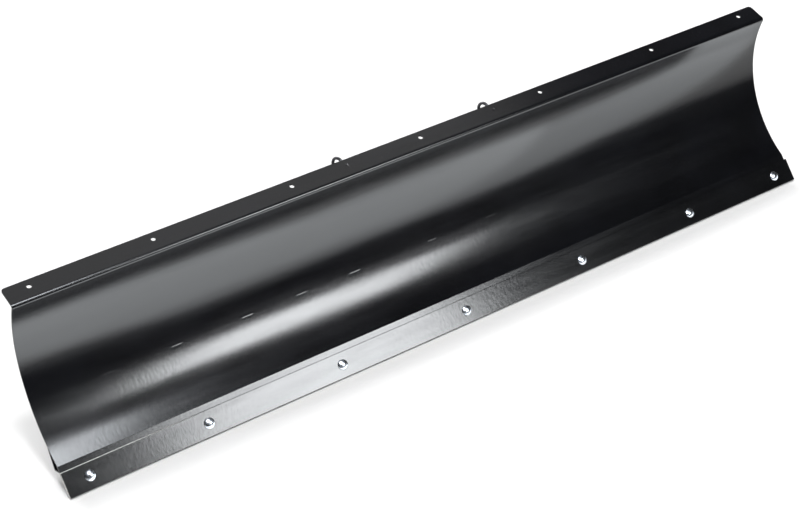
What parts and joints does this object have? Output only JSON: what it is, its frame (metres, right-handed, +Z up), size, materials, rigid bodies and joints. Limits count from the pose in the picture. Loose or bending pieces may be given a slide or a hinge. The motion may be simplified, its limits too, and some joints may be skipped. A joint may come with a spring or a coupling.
{
  "type": "ATV plow blade",
  "caption": "Straight snow plow blade: curved sheet moldboard with a top flange, bolted wear bar, stiffeners, pivot ribs and spring eyebolts.",
  "frame": {"origin": "middle of the blade's footprint, at floor level, with the blade lying on its wear bar's edge and its ribs", "axes": "+X along the blade to the right as seen from in front, +Y back, away from the snow, +Z up"},
  "size_m": [1.8288, 0.229, 0.3588],
  "materials": {
    "blade_paint": "gloss black powder coat",
    "bar_paint": "semi-gloss black paint",
    "zinc": "bright zinc plate",
    "eye_steel": "dark oiled steel"
  },
  "bodies": {
    "root": {"moldboard": "blade_paint", "bottom_stiffener_web": "blade_paint", "bottom_stiffener_foot": "blade_paint", "mid_stiffener": "blade_paint", "rib_left_inner": "blade_paint", "rib_left_outer": "blade_paint", "rib_right_inner": "blade_paint", "rib_right_outer": "blade_paint", "spring_anchor_left": "blade_paint", "spring_anchor_right": "blade_paint", "wear_bar": "bar_paint", "carriage_bolt_1": "zinc", "carriage_bolt_2": "zinc", "carriage_bolt_3": "zinc", "carriage_bolt_4": "zinc", "carriage_bolt_5": "zinc", "carriage_bolt_6": "zinc", "carriage_bolt_7": "zinc", "flange_nut_1": "zinc", "flange_nut_2": "zinc", "flange_nut_3": "zinc", "flange_nut_4": "zinc", "flange_nut_5": "zinc", "flange_nut_6": "zinc", "flange_nut_7": "zinc", "eyebolt_nut_left_upper": "zinc", "eyebolt_nut_left_lower": "zinc", "eyebolt_nut_right_upper": "zinc", "eyebolt_nut_right_lower": "zinc"},
    "eyebolt_left": {"spring_eyebolt_left": "eye_steel"},
    "pivot_left": {"pivot_pin_left": "zinc", "cotter_pin_left": "zinc"},
    "eyebolt_right": {"spring_eyebolt_right": "eye_steel"},
    "pivot_right": {"pivot_pin_right": "zinc", "cotter_pin_right": "zinc"}
  },
  "joints": [
    {"name": "eyebolt_left_adjust", "type": "slide", "parent": "root", "child": "eyebolt_left", "axis": [0, 0.4529, 0.8916], "range_m": [-0.009, 0]},
    {"name": "pivot_pin_left_spin", "type": "hinge", "parent": "root", "child": "pivot_left", "pos_m": [-0.1802, 0.05133, 0.03497], "axis": [1, 0, 0], "continuous": true},
    {"name": "eyebolt_right_adjust", "type": "slide", "parent": "root", "child": "eyebolt_right", "axis": [0, 0.4529, 0.8916], "range_m": [-0.009, 0]},
    {"name": "pivot_pin_right_spin", "type": "hinge", "parent": "root", "child": "pivot_right", "pos_m": [0.1802, 0.05133, 0.03497], "axis": [1, 0, 0], "continuous": true}
  ]
}
